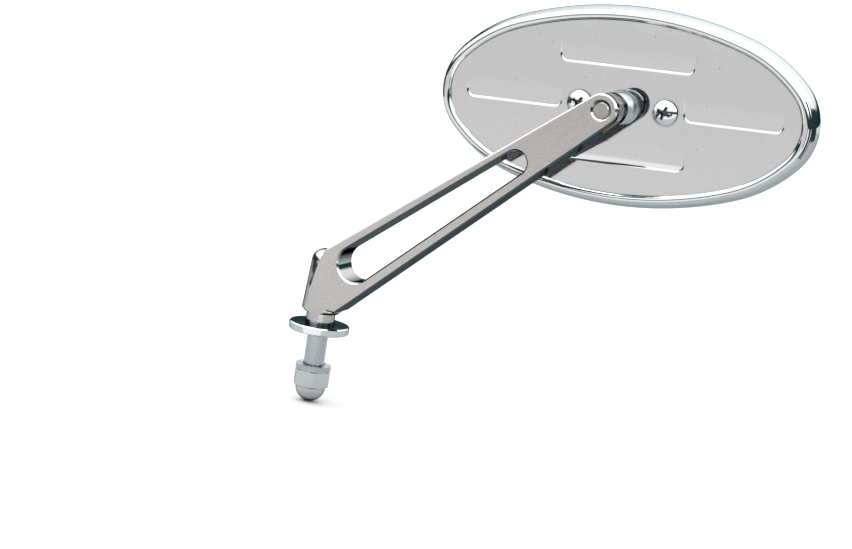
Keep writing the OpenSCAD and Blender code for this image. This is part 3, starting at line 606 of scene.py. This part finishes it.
class MIRROR_OT_build_studio(Operator):
    """Makes the floor, the cards and flags that only show in the gloss, the sky, lights and camera"""
    bl_idname = "mirror.build_studio"
    bl_label = "Build the studio"

    def execute(self, context):
        studio = context.scene.mirror_studio
        scene = context.scene
        scene.view_settings.view_transform = "Standard"
        self.sheet("studio_floor", "matt_paper", studio.floor, (-40, -40, 40, 40), -0.2 * MM)
        # Each flag has its start and end on the floor and its height, in metres
        self.flag("right_flag", (0.44, -0.42), (0.41, -0.22), 0.25)
        self.flag("rear_flag", (0.33, 0.0), (0.31, 0.2), 0.26)
        self.flag("left_flag", (-0.36, -0.25), (-0.46, 0.25), 0.2)
        self.sheet("grey_card", "grey_paper", studio.card, (-2.2, -3.2, 0.9, -0.45), 0.5 * MM)
        self.sheet("under_card", "dark_paper", studio.under_card, (-0.8, -0.12, 1.2, 1.5), 0.5 * MM)
        self.sky(scene, studio)
        self.lights(scene)
        self.camera(scene, studio)
        return {"FINISHED"}

    def panel(self, name, finish_name, colour, corners):
        """Makes one flat panel of matt paper or cloth: an even tone without a highlight."""
        net = bmesh.new()
        net.faces.new([net.verts.new(corner) for corner in corners])
        mesh_data = bpy.data.meshes.new(name)
        net.to_mesh(mesh_data)
        net.free()
        panel = bpy.data.objects.new(name, mesh_data)
        bpy.context.scene.collection.objects.link(panel)
        finish, _, shader, _ = new_finish(finish_name)
        shader.inputs["Base Color"].default_value = rgba(colour)
        shader.inputs["Roughness"].default_value = 0.9
        panel.data.materials.append(finish)
        return panel

    def sheet(self, name, finish_name, colour, box, rise):
        """Lays a flat sheet of paper under the part: the floor, or a card that only shows in gloss."""
        left, near, right, far = box
        low = CAD_BOX[0][2] + rise
        sheet = self.panel(name, finish_name, colour, (
            (left, near, low), (right, near, low), (right, far, low), (left, far, low)))
        if name != "studio_floor":
            self.gloss_only(sheet)

    def flag(self, name, start, end, height):
        """Stands a black flag on the floor, beside the view, for the dark lines in the chrome."""
        low = CAD_BOX[0][2]
        flag = self.panel(name, name + "_cloth", FLAG_CLOTH, (
            (*start, low), (*end, low), (*end, low + height), (*start, low + height)))
        self.gloss_only(flag)

    def gloss_only(self, obj):
        """Keeps a card or flag out of every view and off the floor: the gloss alone shows it."""
        obj.visible_camera = False
        obj.visible_diffuse = False
        obj.visible_shadow = False

    def sky(self, scene, studio):
        """Spans a white dome over a dark room: the room shows as the dark lines in the chrome."""
        world = bpy.data.worlds.new("studio_sky")
        world.use_nodes = True
        tree = world.node_tree
        tree.nodes.clear()
        way = add_node(tree, "ShaderNodeTexCoord")
        axis = add_node(tree, "ShaderNodeSeparateXYZ", links={"Vector": way.outputs["Generated"]})
        ramp = add_node(tree, "ShaderNodeValToRGB", links={"Fac": axis.outputs["Z"]})
        stops = ramp.color_ramp.elements
        stops[0].position = 0.0
        stops[0].color = rgba(studio.room)
        stops[1].position = 1.0
        stops[1].color = DOME_TOP
        for place, colour in ((studio.room_top, rgba(studio.room)),
                              (studio.room_top + DOME_BLEND, DOME_EDGE)):
            stops.new(place).color = colour
        back = add_node(tree, "ShaderNodeBackground", {"Strength": studio.sky},
                        {"Color": ramp.outputs[0]})
        add_node(tree, "ShaderNodeOutputWorld", links={"Surface": back.outputs[0]})
        scene.world = world

    def lights(self, scene):
        """Hangs two soft square lamps, the stronger one above on the left."""
        for name, spot, size, power in (("key_box", (-0.5, -0.4, 1.5), 0.9, 5.0),
                                        ("side_box", (1.5, -0.5, 0.9), 0.6, 3.0)):
            lamp = bpy.data.lights.new(name, "AREA")
            lamp.shape = "SQUARE"
            lamp.size = size
            lamp.energy = power
            obj = bpy.data.objects.new(name, lamp)
            obj.location = spot
            aim = LAMP_AIM - Vector(spot)
            obj.rotation_euler = aim.to_track_quat("-Z", "Y").to_euler()
            scene.collection.objects.link(obj)

    def camera(self, scene, studio):
        """Stands the camera at the photograph's viewing angle, with the neck on its place in it."""
        back = Vector((math.sin(VIEW_TURN) * math.cos(VIEW_LIFT),
                       -math.cos(VIEW_TURN) * math.cos(VIEW_LIFT), math.sin(VIEW_LIFT)))
        side = Vector((math.cos(VIEW_TURN), math.sin(VIEW_TURN), 0))
        up = back.cross(side)
        right = side * math.cos(VIEW_ROLL) + up * math.sin(VIEW_ROLL)
        top = up * math.cos(VIEW_ROLL) - side * math.sin(VIEW_ROLL)
        pixels = studio.lens / FRAME_WIDTH * PHOTO_WIDTH
        over = (NECK_COLUMN - PHOTO_WIDTH / 2) * VIEW_DISTANCE / pixels
        rise = (PHOTO_HEIGHT / 2 - NECK_ROW) * VIEW_DISTANCE / pixels
        spot = NECK_MIDDLE + back * VIEW_DISTANCE - right * over - top * rise
        view = bpy.data.cameras.new("photo_view")
        view.sensor_width = FRAME_WIDTH
        view.lens = studio.lens
        view.clip_start = 0.01
        view.clip_end = 200
        obj = bpy.data.objects.new("photo_view", view)
        axes = Matrix((right, top, back)).transposed().to_4x4()
        obj.matrix_world = Matrix.Translation(spot) @ axes
        scene.collection.objects.link(obj)
        scene.camera = obj


STEPS = (
    MIRROR_OT_dress_arm,
    MIRROR_OT_dress_chrome,
    MIRROR_OT_dress_zinc,
    MIRROR_OT_dress_plastic,
    MIRROR_OT_dress_glass,
    MIRROR_OT_cut_thread,
    MIRROR_OT_build_studio,
)


class MIRROR_PT_looks(Panel):
    """Lists the steps and the values of the mirror's looks"""
    bl_idname = "MIRROR_PT_looks"
    bl_label = "Mirror"
    bl_space_type = "VIEW_3D"
    bl_region_type = "UI"
    bl_category = "Mirror"

    def draw(self, context):
        for group in ("mirror_finishes", "mirror_thread", "mirror_studio"):
            box = self.layout.box()
            values = getattr(context.scene, group)
            for key in values.__annotations__:
                box.prop(values, key)
        for step in STEPS:
            self.layout.operator(step.bl_idname)


CLASSES = (MirrorFinishes, MirrorThread, MirrorStudio) + STEPS + (MIRROR_PT_looks,)


def register():
    """Registers the classes and gives the scene its three groups of values."""
    for item in CLASSES:
        bpy.utils.register_class(item)
    bpy.types.Scene.mirror_finishes = PointerProperty(type=MirrorFinishes)
    bpy.types.Scene.mirror_thread = PointerProperty(type=MirrorThread)
    bpy.types.Scene.mirror_studio = PointerProperty(type=MirrorStudio)


def unregister():
    """Takes back what register has done."""
    del bpy.types.Scene.mirror_studio
    del bpy.types.Scene.mirror_thread
    del bpy.types.Scene.mirror_finishes
    for item in reversed(CLASSES):
        bpy.utils.unregister_class(item)


def main():
    """Registers the classes and takes every step in order."""
    register()
    for step in STEPS:
        group, name = step.bl_idname.split(".")
        getattr(getattr(bpy.ops, group), name)()


if __name__ == "__main__":
    main()
